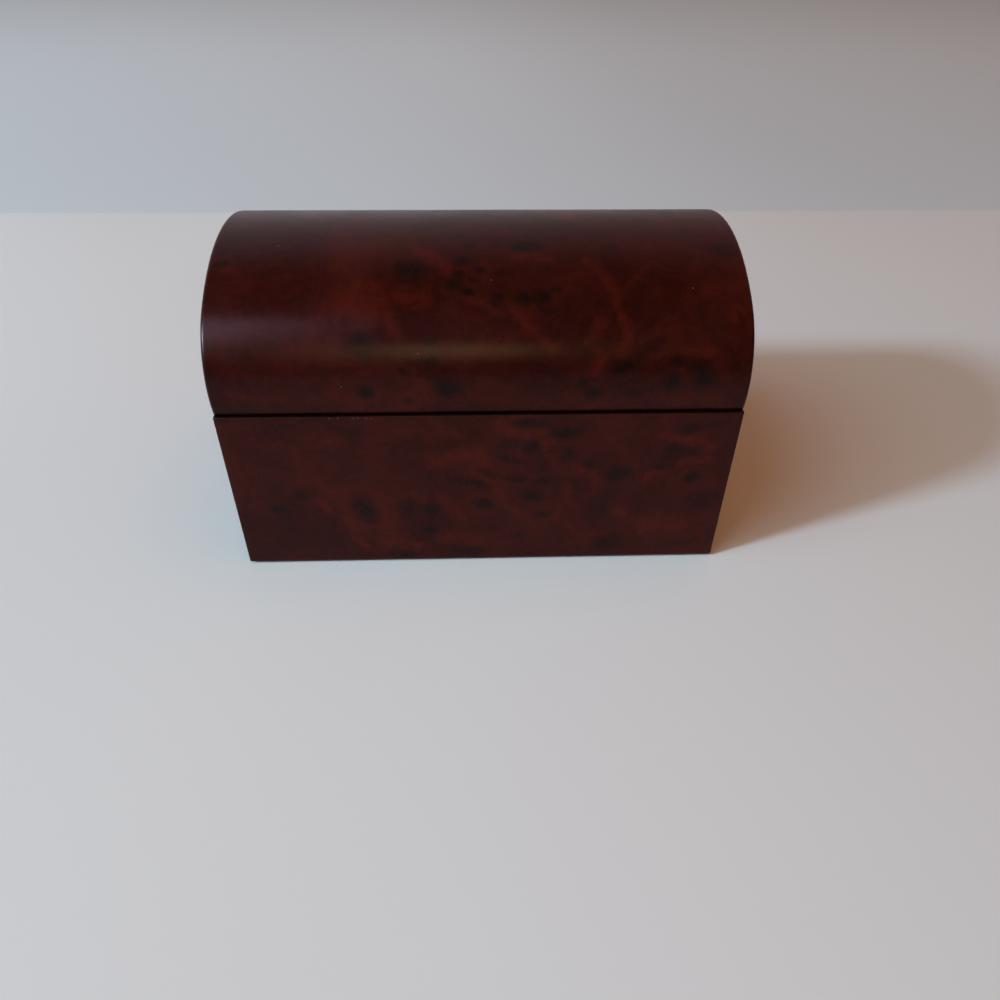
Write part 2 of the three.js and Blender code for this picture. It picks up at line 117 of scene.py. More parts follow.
FRONT_EYES = (
    (301, 495, 7, 6, 10, 0.8), (279, 510, 9, 5, 38, 0.8), (248, 498, 4, 8, 10, 0.4),
    (294, 526, 7, 6, 0, 0.45), (361, 504, 11, 8, 10, 0.8), (368, 514, 11, 8, 10, 0.9),
    (408, 508, 10, 8, 0, 0.7), (432, 510, 9, 7, 0, 0.9), (431, 529, 8, 4, 0, 0.95),
    (459, 480, 12, 7, 10, 0.55), (403, 555, 13, 4, 0, 0.7), (468, 550, 16, 4, 0, 0.7),
    (354, 479, 30, 12, 5, 0.3), (331, 536, 10, 14, -15, 0.35), (417, 538, 9, 4, 0, 0.3),
    (530, 423, 17, 4, 0, 0.85), (566, 433, 18, 6, -4, 0.9), (531, 447, 8, 7, 0, 0.85),
    (507, 444, 13, 6, -5, 0.6), (509, 459, 14, 4, 25, 0.7), (552, 449, 4, 4, 0, 0.6),
    (568, 455, 9, 8, 10, 0.7), (589, 463, 6, 6, 0, 0.65), (615, 474, 8, 8, 0, 1.0),
    (627, 473, 5, 6, 0, 0.7), (488, 473, 11, 4, 35, 0.6), (517, 479, 9, 5, 15, 0.85),
    (543, 481, 10, 4, 10, 0.7), (477, 484, 10, 4, 35, 0.95), (533, 495, 10, 6, 0, 0.9),
    (484, 504, 9, 5, 20, 1.0), (543, 514, 9, 4, 0, 0.8), (493, 528, 6, 4, 15, 0.5),
    (517, 535, 8, 3, -10, 0.8), (672, 447, 8, 4, 10, 0.7), (690, 429, 12, 5, -25, 0.75),
    (718, 425, 13, 4, -5, 0.6), (682, 452, 17, 5, 5, 0.65), (659, 465, 9, 4, 5, 0.8),
    (692, 478, 8, 5, 0, 0.95), (700, 500, 14, 9, 0, 0.6), (600, 506, 13, 16, 15, 0.55),
    (606, 543, 14, 7, 0, 0.7), (679, 543, 20, 4, -10, 0.5), (630, 441, 12, 5, -10, 0.35),
    (580, 484, 8, 8, 0, 0.3), (477, 552, 9, 3, 0, 0.4), (588, 425, 10, 4, 5, 0.4),
    (724, 448, 5, 5, 0, 0.4), (640, 500, 6, 8, 20, 0.3),
)

# Flames are bright streaks of grain: half their width in pixels, a strength, then the pixels
# that the streak passes through. On the lid, three of them are a painted highlight.
LID_FLAMES_AND_HIGHLIGHT = (
    (9, 0.45, ((595, 265), (604, 275), (611, 286), (615, 298), (616, 311))),
    (8, 0.35, ((646, 268), (636, 278), (626, 288), (619, 298))),
    (8, 0.5, ((602, 322), (596, 334), (588, 345))),
    (7, 0.55, ((622, 316), (628, 328), (628, 342), (618, 353))),
    (7, 0.65, ((602, 356), (599, 365), (591, 374))),
    (4, 0.3, ((653, 262), (673, 273), (691, 283), (712, 293), (727, 300), (748, 312))),
    (9, 0.22, ((664, 249), (690, 251), (712, 255))),
    (5, 0.45, ((583, 258), (590, 266))),
    (6, 0.4, ((733, 306), (735, 322))),
    (7, 0.4, ((682, 353), (700, 350), (716, 354))),
    (6, 0.5, ((648, 398), (662, 399))),
    (11, 0.5, ((418, 250), (431, 256), (442, 264), (450, 272))),
    (15, 0.6, ((402, 297), (414, 298), (424, 299))),
    (8, 0.5, ((382, 296), (388, 314), (393, 328), (398, 340))),
    (24, 0.6, ((352, 306), (366, 305), (378, 308))),
    (10, 0.5, ((358, 286), (378, 288))),
    (12, 0.35, ((228, 270), (242, 272))),
    (10, 0.45, ((470, 297), (484, 300), (498, 310))),
    (9, 0.5, ((512, 308), (526, 318), (528, 332))),
    (9, 0.4, ((516, 258), (534, 256), (556, 262))),
    (9, 0.6, ((420, 384), (432, 392), (434, 404))),
    (14, 0.25, ((225, 372), (255, 376), (280, 382))),
    (16, 0.45, ((330, 396), (345, 404))),
    (12, 0.35, ((480, 384), (520, 392))),
    (8, 0.45, ((534, 330), (545, 342), (556, 352))),
    (10, 0.3, ((500, 232), (540, 236))),
    # These three run from end to end along the lid's lower front: a painted highlight on that band,
    # drawn in the flame colour
    (14, 0.45, ((232, 398), (330, 402), (430, 399), (540, 401))),
    (12, 0.42, ((560, 400), (620, 402), (722, 398))),
    (16, 0.4, ((298, 403), (350, 406), (415, 405))),
)
FRONT_FLAMES = (
    (10, 0.6, ((500, 424), (515, 434), (548, 436), (545, 446))),
    (12, 0.5, ((433, 462), (452, 456), (474, 452), (486, 464))),
    (7, 0.6, ((318, 500), (326, 506), (332, 514))),
    (6, 0.55, ((346, 518), (354, 528), (358, 540), (370, 548))),
    (12, 0.45, ((386, 543), (400, 540), (420, 546))),
    (12, 0.5, ((444, 538), (462, 536), (480, 542))),
    (14, 0.35, ((304, 438), (324, 437), (340, 442))),
    (7, 0.5, ((566, 486), (566, 498), (574, 508))),
    (8, 0.45, ((578, 470), (592, 474), (600, 484))),
    (8, 0.5, ((612, 506), (622, 514), (630, 518))),
    (16, 0.45, ((645, 524), (662, 520), (680, 526))),
    (8, 0.5, ((648, 478), (656, 472), (664, 474))),
    (9, 0.45, ((660, 436), (676, 438), (700, 442), (712, 450))),
    (8, 0.45, ((684, 460), (700, 462), (712, 458))),
    (10, 0.4, ((440, 498), (452, 508), (462, 520))),
    (8, 0.45, ((500, 492), (506, 504), (516, 512))),
    (8, 0.4, ((416, 494), (424, 500))),
    (14, 0.3, ((400, 430), (440, 432), (470, 434))),
    (8, 0.35, ((556, 520), (568, 526), (580, 536))),
)

# The figure on the sides that the picture doesn't show is drawn at random from these bounds, in
# millimetres, with this many clusters of eyes on each piece. It stands on the points no deeper
# than the skin, and on the lid's top from just behind the middle.
CASE_SEED = 11
LID_SEED = 23
CLUSTERS = {"right_wall": 9, "back_wall": 15, "left_wall": 9}
CROWN_CLUSTERS = 26
END_CLUSTERS = 7
SKIN = 0.1
CROWN_BACK = 5
CLUSTER_REACH = 20
CLUSTER_EYES = (3, 9)
EYE_LENGTHS = (1.8, 4.6)
EYE_SLIMNESS = (0.45, 1.0)
EYE_STRENGTHS = (0.5, 1.0)
STREAK_WIDTHS = (1.6, 4.2)
STREAK_STRENGTHS = (0.4, 0.95)
STREAK_PARTS = 12

# Places along a streak are this share of its half width apart
STREAK_STEP = 0.4

# How deep into the wood an eye reaches and how long it is at most, in millimetres. Longer ones
# are shadows in the wood, without rings.
EYE_DEPTH = 8
EYE_LIMIT = 8

# How many times its own size the nearest eye is away from a point, at most
NO_EYE = 9.0

# How fast an eye's darkness fades and how sharp its edge is, how much overlapping eyes add to the
# darkest of them and up to what, and how far an eye bends the grain and how fast that fades
EYE_FADE, EYE_EDGE = 0.8, 1.3
OVERLAP, DARKEST = 0.3, 1.1
BEND, BEND_FADE = 0.8, 0.25

# How light the sheets of veneer on case and lid are
CASE_TONE = 1.05
LID_TONE = 0.82

# Specks of dust on the lid and nicks in the lacquer of the case's front, in the same pixels, and
# how wide they are in millimetres
DUST = ((278, 246), (418, 354), (341, 387), (693, 288), (491, 280))
NICKS = (
    (714, 522), (329, 418.6), (338, 418.6), (353, 418.5), (358, 418.5), (366, 418.4), (371, 418.4),
)
SPECK = 0.4

# The rims of case and lid are coloured dark as far down and up the faces as this
RIM_DARKENING = 0.2 * MM

# Play round the hinges' leaves and round the floor board
MORTISE_PLAY = 0.2 * MM
FLOOR_PLAY = 0.3 * MM

# The lid's end boards are cut from blocks that stand out this far past the arch, by an outline
# with points this far apart
END_MARGIN = 2 * MM
END_GRID = 1 * MM

# Spacing of the points on cloth: the floor pad's, the end panels' and the card's two ways
PAD_GRID = 2.5 * MM
PANEL_GRID = 2 * MM
CARD_GRID = (2 * MM, 4 * MM)

# The card's thickness, how far the pad starts inside its box, and the rounding of both pads
CARD = 1.3 * MM
PAD_MARGIN = 0.4 * MM
PAD_ROUND = 0.8 * MM
PANEL_ROUND = 0.6 * MM

# How the pads swell: pressure, stiffness of the cloth, quality and frames of the simulation
PRESSURE = 4.0
STIFFNESS = 12
QUALITY = 6
FRAMES = 20

# The picture's camera
FOCAL_PIXELS = 779.7
PICTURE_PIXELS = 1000
SENSOR = 36
CAMERA_PLACE = Vector((-3.3, -314.25, 237.2)) * MM
CAMERA_YAW = math.radians(2.44)
CAMERA_PITCH = math.radians(38.97)
CAMERA_ROLL = math.radians(0.68)
CAMERA_CLIP = (0.01, 20)


def measure(name, description, millimetres):
    """Declares a size that is given in millimetres and kept in metres."""
    return bpy.props.FloatProperty(
        name=name, description=description, default=millimetres * MM, unit="LENGTH"
    )


def tint(name, description, colour):
    """Declares a colour, as linear light."""
    return bpy.props.FloatVectorProperty(
        name=name, description=description, default=colour, subtype="COLOR"
    )


class CasketSizes(bpy.types.PropertyGroup):
    """Sizes of the casket that the frame's boxes don't give."""

    arris: measure("Arris", "Rounding of the case's corners and of its foot", 0.8)
    fine_arris: measure(
        "Fine arris", "Rounding of the case's rim and of the lid's outside edges", 0.45
    )
    end_arris: measure("End arris", "How far in the lid's top rolls off to its ends", 1.5)
    joint: measure("Joint", "Hairline between bonded pieces", 0.04)
    veneer_step: measure("Veneer step", "Spacing of the points that carry the burl's figure", 1.3)
    side_drop: measure("Side drop", "From the springing line down to the lid's rim", 7.8)
    shoulder_radius: measure("Shoulder radius", "Radius of the lid's two shoulders", 35)
    shell: measure("Shell", "Thickness of the bent top", 6.5)
    leaf: measure("Leaf", "Depth of a hinge mortise", 1.6)
    lining_round: measure("Lining round", "Rounding of the cloth-wrapped boards", 1.2)
    pad_start: measure("Floor pad's edge", "Thickness of the floor pad before it swells", 1.9)
    panel_start: measure(
        "End panel's edge", "Thickness of the lid's end panels before they swell", 1.5
    )


class CasketColours(bpy.types.PropertyGroup):
    """Colours of the casket."""

    burl_dark: tint("Dark burl", "Deepest ground", (0.024, 0.0021, 0.001))
    burl_ground: tint("Burl", "Middle ground", (0.031, 0.0028, 0.0015))
    burl_light: tint("Light burl", "Lightest ground", (0.041, 0.0038, 0.0019))
    # Flame colour, also used for a painted highlight along the lid's lower front
    flame: tint("Flame", "Bright grain", (0.11, 0.0085, 0.003))
    eye: tint("Eye", "Heart of a burl eye", (0.0075, 0.0018, 0.0012))
    speck: tint("Specks", "Dust and nicks", (0.2, 0.13, 0.1))
    # The dark colour of the rims
    rim: tint("Rim", "Darkening on the rims", (0.0035, 0.0016, 0.0014))
    suede: tint("Suede", "Lining cloth", (0.42, 0.29, 0.18))
    felt: tint("Felt", "Underside felt", (0.02, 0.018, 0.017))
    board: tint("Board", "Bare floor board", (0.2, 0.11, 0.06))
    brass: tint("Brass", "Hinges and screws", (0.68, 0.43, 0.15))
    table: tint("Table", "Table top", (0.55, 0.545, 0.55))
    ground: tint("Ground", "Past the table's edges", (0.47, 0.5, 0.53))


def sizes():
    return bpy.context.scene.casket_sizes


def colours():
    return bpy.context.scene.casket_colours


# Modelling helpers


def pick(*objects):
    """Leaves edit mode and selects only these objects, the last one active."""
    if bpy.context.object and bpy.context.object.mode != "OBJECT":
        bpy.ops.object.mode_set(mode="OBJECT")
    bpy.ops.object.select_all(action="DESELECT")
    for obj in objects:
        obj.select_set(True)
        bpy.context.view_layer.objects.active = obj


def edit(obj):
    pick(obj)
    bpy.ops.object.mode_set(mode="EDIT")
    bpy.ops.mesh.select_mode(type="EDGE")


def done():
    bpy.ops.object.mode_set(mode="OBJECT")


def settle(obj):
    """Puts the object's place, turn and scale into its mesh."""
    pick(obj)
    bpy.ops.object.transform_apply(location=True, rotation=True, scale=True)
    return obj


def choose(obj, kind, test):
    """Selects the points, edges or faces of a mesh in edit mode that pass a test."""
    bpy.ops.mesh.select_all(action="DESELECT")
    shape = bmesh.from_edit_mesh(obj.data)
    for part in list(getattr(shape, kind)):
        if test(part):
            part.select_set(True)
    bmesh.update_edit_mesh(obj.data)


def apply_modifier(obj, kind, **settings):
    pick(obj)
    bpy.ops.object.modifier_add(type=kind)
    modifier = obj.modifiers[-1]
    for name, value in settings.items():
        setattr(modifier, name, value)
    bpy.ops.object.modifier_apply(modifier=modifier.name)


def block(name, low, high):
    pick()
    low, high = Vector(low), Vector(high)
    bpy.ops.mesh.primitive_cube_add(size=1, location=(low + high) / 2, scale=high - low)
    obj = bpy.context.object
    obj.name = name
    return settle(obj)


def combine(obj, tool, operation):
    """Joins, cuts or trims a piece by a tool, which is used up."""
    apply_modifier(obj, "BOOLEAN", object=tool, operation=operation, solver="EXACT")
    bpy.data.objects.remove(tool, do_unlink=True)
    return obj


def joined(objects):
    pick(*objects)
    if len(objects) > 1:
        bpy.ops.object.join()
    return bpy.context.view_layer.objects.active


def cut_away(point, towards):
    """Bisects what is in edit mode, closes the cut and drops the side that towards points to."""
    bpy.ops.mesh.select_all(action="SELECT")
    bpy.ops.mesh.bisect(
        plane_co=point, plane_no=towards, use_fill=True, clear_outer=True, threshold=TOUCH
    )


def lies_at(part, axis, level, tolerance=TOUCH):
    """Whether all points of an edge are at a level along an axis."""
    return all(abs(v.co[axis] - level) < tolerance for v in part.verts)


def is_sharp(edge):
    return edge.is_manifold and edge.calc_face_angle() > SHARP


def divide(obj, directions, least, step):
    """Divides the edges along some directions that are longer than least into steps."""
    edit(obj)
    for direction in directions:

        def runs_along(edge):
            line = edge.verts[1].co - edge.verts[0].co
            return line.length > least and abs(line.normalized().dot(direction)) > ALONG

        choose(obj, "edges", runs_along)
        chosen = [e.calc_length() for e in bmesh.from_edit_mesh(obj.data).edges if e.select]
        bpy.ops.mesh.subdivide(number_cuts=max(1, round(max(chosen, default=0) / step) - 1))
    done()


def smooth(obj, angle=35):
    pick(obj)
    bpy.ops.object.shade_smooth_by_angle(angle=math.radians(angle))


def bevel(offset, segments):
    """Rounds the chosen edges of what is in edit mode."""
    bpy.ops.mesh.bevel(offset=offset, segments=segments, profile=0.5, affect="EDGES")


def round_edges(obj, test, offset, segments=4):
    edit(obj)
    choose(obj, "edges", test)
    bevel(offset, segments)
    done()


def merge():
    """Merges the points that meet of what is in edit mode."""
    bpy.ops.mesh.select_all(action="SELECT")
    bpy.ops.mesh.remove_doubles(threshold=MERGE)


def face_outward():
    """Turns the faces of what is in edit mode outward."""
    bpy.ops.mesh.select_all(action="SELECT")
    bpy.ops.mesh.normals_make_consistent(inside=False)


def tidy_normals(obj):
    edit(obj)
    merge()
    face_outward()
    done()


def thicken(obj, thickness):
    """Gives a sheet over the arch its thickness on the inside."""
    edit(obj)
    face_outward()
    done()
    top = max(obj.data.polygons, key=lambda p: p.center.z)
    offset = -1 if top.normal.z > 0 else 1
    apply_modifier(
        obj, "SOLIDIFY", thickness=thickness, offset=offset, use_even_offset=True, use_rim=True
    )


# The lid's arch


class Arch:
    """The lid's three-centred section, set in from the outside by inset."""

    def __init__(self, inset=0.0):
        size = sizes()
        self.springing = CROWN_BOX[0].z + size.side_drop
        self.reach = CROWN_BOX[1].y - size.shoulder_radius
        rise = CROWN_BOX[1].z - self.springing
        full = size.shoulder_radius
        crown = (self.reach**2 + rise**2 - full**2) / (2 * (rise - full))
        self.crown_centre = self.springing + rise - crown
        self.turn = math.atan2(self.springing - self.crown_centre, self.reach)
        self.shoulder = full - inset
        self.crown = crown - inset

    def start(self, foot):
        """Angle of the shoulder arc at height foot."""
        return math.asin((foot - self.springing) / self.shoulder)

    def distance(self, place):
        """How far a point is from the arch's line."""
        if math.atan2(place.z - self.crown_centre, abs(place.y)) > self.turn:
            return abs(math.hypot(place.y, place.z - self.crown_centre) - self.crown)
        return abs(math.hypot(abs(place.y) - self.reach, place.z - self.springing) - self.shoulder)

    def sheet(self, name, left, right, foot, step, along=None):
        """An open sheet that follows the arch from the back foot over to the front foot."""
        begin = self.start(foot)
        y = self.reach + self.shoulder * math.cos(begin)
        pick()
        bpy.ops.mesh.primitive_plane_add(size=1, location=((left + right) / 2, y + 0.5, foot))
        obj = bpy.context.object
        obj.name = name
        obj.scale = (right - left, 1, 1)
        settle(obj)
        edit(obj)
        bpy.ops.mesh.select_mode(type="VERT")
        choose(obj, "verts", lambda v: v.co.y > y + 0.5)
        bpy.ops.mesh.delete(type="VERT")
        bpy.ops.mesh.select_mode(type="EDGE")
        bpy.ops.mesh.select_all(action="SELECT")
        if along:
            bpy.ops.mesh.subdivide(number_cuts=max(1, round((right - left) / along) - 1))
            bpy.ops.mesh.select_all(action="SELECT")
        for centre, radius, angle in (
            ((0, self.reach, self.springing), self.shoulder, self.turn - begin),
            ((0, 0, self.crown_centre), self.crown, math.pi - 2 * self.turn),
            ((0, -self.reach, self.springing), self.shoulder, self.turn - begin),
        ):
            steps = max(3, round(radius * angle / step))
            bpy.ops.mesh.spin(steps=steps, angle=angle, center=centre, axis=-X)
        merge()
        done()
        return obj

    def prism(self, name, left, right, foot, step):
        """A solid under the arch."""
        obj = self.sheet(name, left, right, foot, step)
        edit(obj)
        choose(obj, "edges", lambda e: e.is_boundary and lies_at(e, 2, foot))
        bpy.ops.mesh.edge_face_add()
        choose(obj, "edges", lambda e: e.is_boundary)
        bpy.ops.mesh.fill_holes(sides=0)
        face_outward()
        done()
        return obj


# Materials. A helper finds the network that it adds to from the outputs that it is given.


def network(name):
    """A new material and its empty node tree."""
    material = bpy.data.materials.new(name)
    material.use_nodes = True
    material.node_tree.nodes.clear()
    return material, material.node_tree


def feed(socket, value):
    """Links an input to an output, or sets it to a number, a vector or a colour."""
    if isinstance(value, bpy.types.NodeSocket):
        socket.id_data.links.new(value, socket)
    elif socket.type == "VECTOR" and isinstance(value, (int, float)):
        socket.default_value = (value, value, value)
    elif socket.type == "RGBA":
        socket.default_value = (*value, 1)
    else:
        socket.default_value = value


def node(tree, kind, out=0, inputs=None, **settings):
    """Adds a node, sets its settings and inputs, and gives one of its outputs."""
    made = tree.nodes.new(kind)
    for name, value in settings.items():
        setattr(made, name, value)
    for name, value in (inputs or {}).items():
        feed(made.inputs[name], value)
    return made.outputs[out]


def maths(operation, a, b=0.0):
    """Adds a sum, a product or the like, of vectors if either value is a vector or a colour."""

    def single(value):
        linked = isinstance(value, bpy.types.NodeSocket)
        return value.type == "VALUE" if linked else isinstance(value, (int, float))

    kind = "ShaderNodeMath" if single(a) and single(b) else "ShaderNodeVectorMath"
    return node(a.id_data, kind, inputs={0: a, 1: b}, operation=operation)


def plus(a, b):
    return maths("ADD", a, b)


def minus(a, b):
    return maths("SUBTRACT", a, b)


def times(a, b):
    return maths("MULTIPLY", a, b)


def noise(place, scale, detail=2.0, roughness=0.5, distortion=0.0, out="Fac"):
    inputs = {"Vector": place, "Scale": scale, "Detail": detail}
    inputs.update({"Roughness": roughness, "Distortion": distortion})
    return node(place.id_data, "ShaderNodeTexNoise", out, inputs)


def span(value, low, high, to_low=0.0, to_high=1.0, soft=True):
    """Maps what lies between low and high to what lies between two other values."""
    inputs = {0: value, 1: low, 2: high, 3: to_low, 4: to_high}
    curve = "SMOOTHSTEP" if soft else "LINEAR"
    return node(value.id_data, "ShaderNodeMapRange", 0, inputs, interpolation_type=curve)


def mix(share, a, b):
    """Mixes two colours."""
    return node(share.id_data, "ShaderNodeMix", 2, {0: share, 6: a, 7: b}, data_type="RGBA")


def attribute(tree, name, out="Fac"):
    return node(tree, "ShaderNodeAttribute", out, attribute_name=name)


def axes(place, names):
    return (node(place.id_data, "ShaderNodeSeparateXYZ", name, {0: place}) for name in names)


def millimetres(tree):
    return times(node(tree, "ShaderNodeTexCoord", "Object"), 1 / MM)


def surface(colour, roughness, bump=None, bump_height=0.0, **sockets):
    """Ends a material's network with a principled shader."""
    tree = colour.id_data
    inputs = {"Base Color": colour, "Roughness": roughness}
    inputs.update({name.replace("_", " "): value for name, value in sockets.items()})
    if bump is not None:
        relief = {"Height": bump, "Distance": bump_height, "Strength": 1.0}
        inputs["Normal"] = node(tree, "ShaderNodeBump", inputs=relief)
    shader = node(tree, "ShaderNodeBsdfPrincipled", inputs=inputs)
    feed(tree.nodes.new("ShaderNodeOutputMaterial").inputs[0], shader)


def burl_material():
    """Lacquered burl veneer. Its eyes, flames, a painted highlight on the lid's lower front and the
    grain's bend come from the mesh.
    """
    if "burl_veneer" in bpy.data.materials:
        return bpy.data.materials["burl_veneer"]
    material, tree = network("burl_veneer")
    tone = colours()
    place = millimetres(tree)
    bent = plus(place, attribute(tree, "burl_bend", "Vector"))
    drift = minus(noise(bent, 0.035, out="Color"), 0.5)
    flow = plus(bent, times(drift, 40))

    # Ground in three tones, softly mottled
    ground = noise(flow, 0.032, 3)
    colour = mix(span(ground, 0.36, 0.54), tone.burl_dark, tone.burl_ground)
    colour = mix(span(ground, 0.5, 0.68), colour, tone.burl_light)
    mottle = noise(flow, 0.2, 4, 0.65, 0.6)
    colour = times(colour, span(mottle, 0.3, 0.7, 0.78, 1.22, soft=False))

    # Flames: faint wisps here and there, and the mesh's strokes torn along the grain, among them a
    # painted highlight along the lid's lower front
    band = maths("ABSOLUTE", minus(noise(flow, 0.075, 3, 0.5, 0.4), 0.5))
    where = span(noise(flow, 0.025), 0.46, 0.64)
    wisp = times(times(span(band, 0, 0.09, 1, 0), where), 0.16)
    stroke = attribute(tree, "burl_flame")
    fibre = times(minus(noise(flow, 0.3, 4, 0.6), 0.5), 1.1)
    torn = span(plus(stroke, fibre), 0.1, 0.95, soft=False)
    flame = maths("MAXIMUM", wisp, times(torn, span(stroke, 0.03, 0.35)))
    colour = mix(times(flame, 0.52), colour, tone.flame)

    # Eyes: faint rings round a dark heart with a ragged edge
    ragged = minus(noise(place, 0.45, 4, 0.6), 0.5)
    rings = plus(attribute(tree, "burl_eye"), times(ragged, 2.5))
    ripple = times(maths("SINE", times(rings, 5.0)), span(rings, 0.8, 2.6, 0.3, 0))
    colour = mix(span(ripple, 0, 0.5, 0, 0.35), colour, tone.burl_light)
    colour = mix(span(ripple, 0, -0.5, 0, 0.45), colour, tone.burl_dark)
    spot = times(attribute(tree, "burl_dark"), plus(times(ragged, 1.7), 1.0))
    colour = mix(times(span(spot, 0.1, 0.85, soft=False), 0.88), colour, tone.eye)

    # Fine grain, pores and the tone of the sheet
    shade = span(noise(flow, 0.9, 3, 0.6), 0.25, 0.75, 0.8, 1.2, soft=False)
    shade = times(shade, span(noise(place, 3.2, 1), 0.3, 0.38, 0.8, 1))
    colour = times(colour, times(shade, attribute(tree, "burl_tone")))

    # Rims coloured dark, with a slightly uneven edge
    darkened = RIM_DARKENING / MM
    rim, foot = CASE_HIGH.z / MM, CROWN_BOX[0].z / MM
    (height,) = axes(place, "Z")
    height = plus(height, times(minus(noise(place, 0.8), 0.5), darkened))
    above_face = span(height, rim - darkened, rim - darkened / 2)
    below_lid = span(height, foot + darkened, foot + darkened / 2)
    colour = mix(maths("MINIMUM", above_face, below_lid), colour, tone.rim)

    # Satin lacquer
    roughness = span(noise(place, 0.03, 3, 0.6), 0.3, 0.7, 0.25, 0.31)
    surface(colour, roughness, noise(place, 0.55), 0.012 * MM, Specular_IOR_Level=0.12)
    return material


def add_specks(material, places):
    """Puts a pale speck at each of a few places of a material, in millimetres."""
    tree = material.node_tree
    shader = next(n for n in tree.nodes if n.type == "BSDF_PRINCIPLED")
    colour = shader.inputs["Base Color"].links[0].from_socket
    here = millimetres(tree)
    for place in places:
        ends = {0: here, 1: place}
        gap = node(tree, "ShaderNodeVectorMath", "Value", ends, operation="DISTANCE")
        colour = mix(span(gap, SPECK, SPECK / 3, 0, 0.35), colour, colours().speck)
    feed(shader.inputs["Base Color"], colour)


def suede_material():
    if "suede_cloth" in bpy.data.materials:
        return bpy.data.materials["suede_cloth"]
    material, tree = network("suede_cloth")
    base = Vector(colours().suede)
    place = millimetres(tree)
    nap = noise(place, 0.035, 3, 0.5, 0.4)
    brushed = noise(times(place, (0.5, 0.12, 0.3)), 1.0, 3, 0.6)
    fuzz = noise(place, 4.0, 3, 0.7)
    colour = mix(span(nap, 0.35, 0.65), base * 0.9, base * 1.07)
    colour = times(colour, span(brushed, 0.3, 0.7, 0.93, 1.05, soft=False))
    colour = times(colour, span(fuzz, 0.2, 0.8, 0.8, 1.14, soft=False))
    surface(
        colour, span(nap, 0.3, 0.7, 0.86, 0.97), fuzz, 0.09 * MM,
        Sheen_Weight=0.35, Sheen_Roughness=0.45, Specular_IOR_Level=0.15,
    )
    return material


def felt_material():
    material, tree = network("pressed_felt")
    base = Vector(colours().felt)
    place = millimetres(tree)
    fibre = noise(place, 2.4, 4, 0.75, 1.5)
    blotch = noise(place, 0.08, 3, 0.6)
    colour = mix(span(blotch, 0.35, 0.65), base * 0.75, base * 1.3)
    colour = times(colour, span(fibre, 0.2, 0.8, 0.6, 1.4, soft=False))
    surface(
        colour, span(fibre, 0.2, 0.8, 0.9, 1.0), fibre, 0.15 * MM,
        Sheen_Weight=0.3, Sheen_Roughness=0.6, Specular_IOR_Level=0.1,
    )
    return material


def board_material():
    material, tree = network("bare_board")
    base = Vector(colours().board)
    grain = noise(times(millimetres(tree), (0.06, 1.0, 1.0)), 0.5, 5, 0.65, 0.8)
    colour = mix(span(grain, 0.3, 0.7), base * 0.6, base * 1.3)
    surface(colour, span(grain, 0.3, 0.7, 0.5, 0.7), grain, 0.05 * MM)
    return material


def brass_material():
    material, tree = network("satin_brass")
    base = Vector(colours().brass)
    place = millimetres(tree)
    scratch = noise(times(place, (0.12, 2.0, 2.0)), 1.6, 4, 0.6)
    colour = mix(span(noise(place, 0.16, 4, 0.65), 0.4, 0.68), base, base * 0.62)
    surface(colour, span(scratch, 0.2, 0.8, 0.24, 0.42), scratch, 0.01 * MM, Metallic=1.0)
    return material


def dress(obj, material):
    obj.data.materials.clear()
    obj.data.materials.append(material)


def finish_piece(obj, node_name, body, material):
    """Gives a finished piece its material and ties it to the frame."""
    dress(obj, material)
    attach(obj, body)
    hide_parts(node_name)


# The burl's figure


def camera_turn():
    """The picture's camera axes in the world, as rows: right, down and forward."""
    ahead = Matrix(((1, 0, 0), (0, 0, -1), (0, 1, 0)))
    yaw = Matrix.Rotation(CAMERA_YAW, 3, "Z")
    pitch = Matrix.Rotation(CAMERA_PITCH, 3, "X")
    roll = Matrix.Rotation(CAMERA_ROLL, 3, "Z")
    return roll @ pitch @ ahead @ yaw


def sight_line(pixel):
    """The way from the camera through a pixel."""
    middle = PICTURE_PIXELS / 2
    sight = Vector((pixel[0] - middle, pixel[1] - middle, FOCAL_PIXELS))
    return camera_turn().transposed() @ sight


def seen_at(obj, pixel):
    """Where the line of sight through a pixel meets a piece, in millimetres, and its normal."""
    hit, place, normal, _index = obj.ray_cast(CAMERA_PLACE, sight_line(pixel).normalized())
    if not hit:
        raise RuntimeError(f"the line through pixel {pixel} misses {obj.name}")
    return place / MM, normal


def seen_on_plane(pixel, place, normal):
    """Where the line of sight through a pixel meets the plane through place, in millimetres."""
    eye = CAMERA_PLACE / MM
    direction = sight_line(pixel)
    return eye + direction * ((place - eye).dot(normal) / direction.dot(normal))


def read_ellipses(obj, table):
    """The ellipses of a table laid on a piece: middle, long and short half axes, strength."""
    found = []
    for x, y, length, width, turn, strength in table:
        place, normal = seen_at(obj, (x, y))
        cos, sin = math.cos(math.radians(turn)), math.sin(math.radians(turn))
        along = seen_on_plane((x + length * cos, y + length * sin), place, normal) - place
        across = seen_on_plane((x - width * sin, y + width * cos), place, normal) - place
        found.append((place, along, across, strength))
    return found


def read_streaks(obj, table):
    """The flames of a table laid on a piece, a painted highlight among them, as places with a half
    width and a strength.
    """
    rows = []
    for width, strength, pixels in table:
        places = []
        for x, y in pixels:
            place, normal = seen_at(obj, (x, y))
            places.append(place)
            reach = (seen_on_plane((x + width, y), place, normal) - place).length
        rows += streak_rows(places, reach, strength)
    return rows


def streak_rows(places, width, strength):
    rows = []
    for a, b in zip(places, places[1:]):
        count = max(2, round((b - a).length / (STREAK_STEP * width)))
        rows += [(*a.lerp(b, i / count), width, strength) for i in range(count)]
    return rows


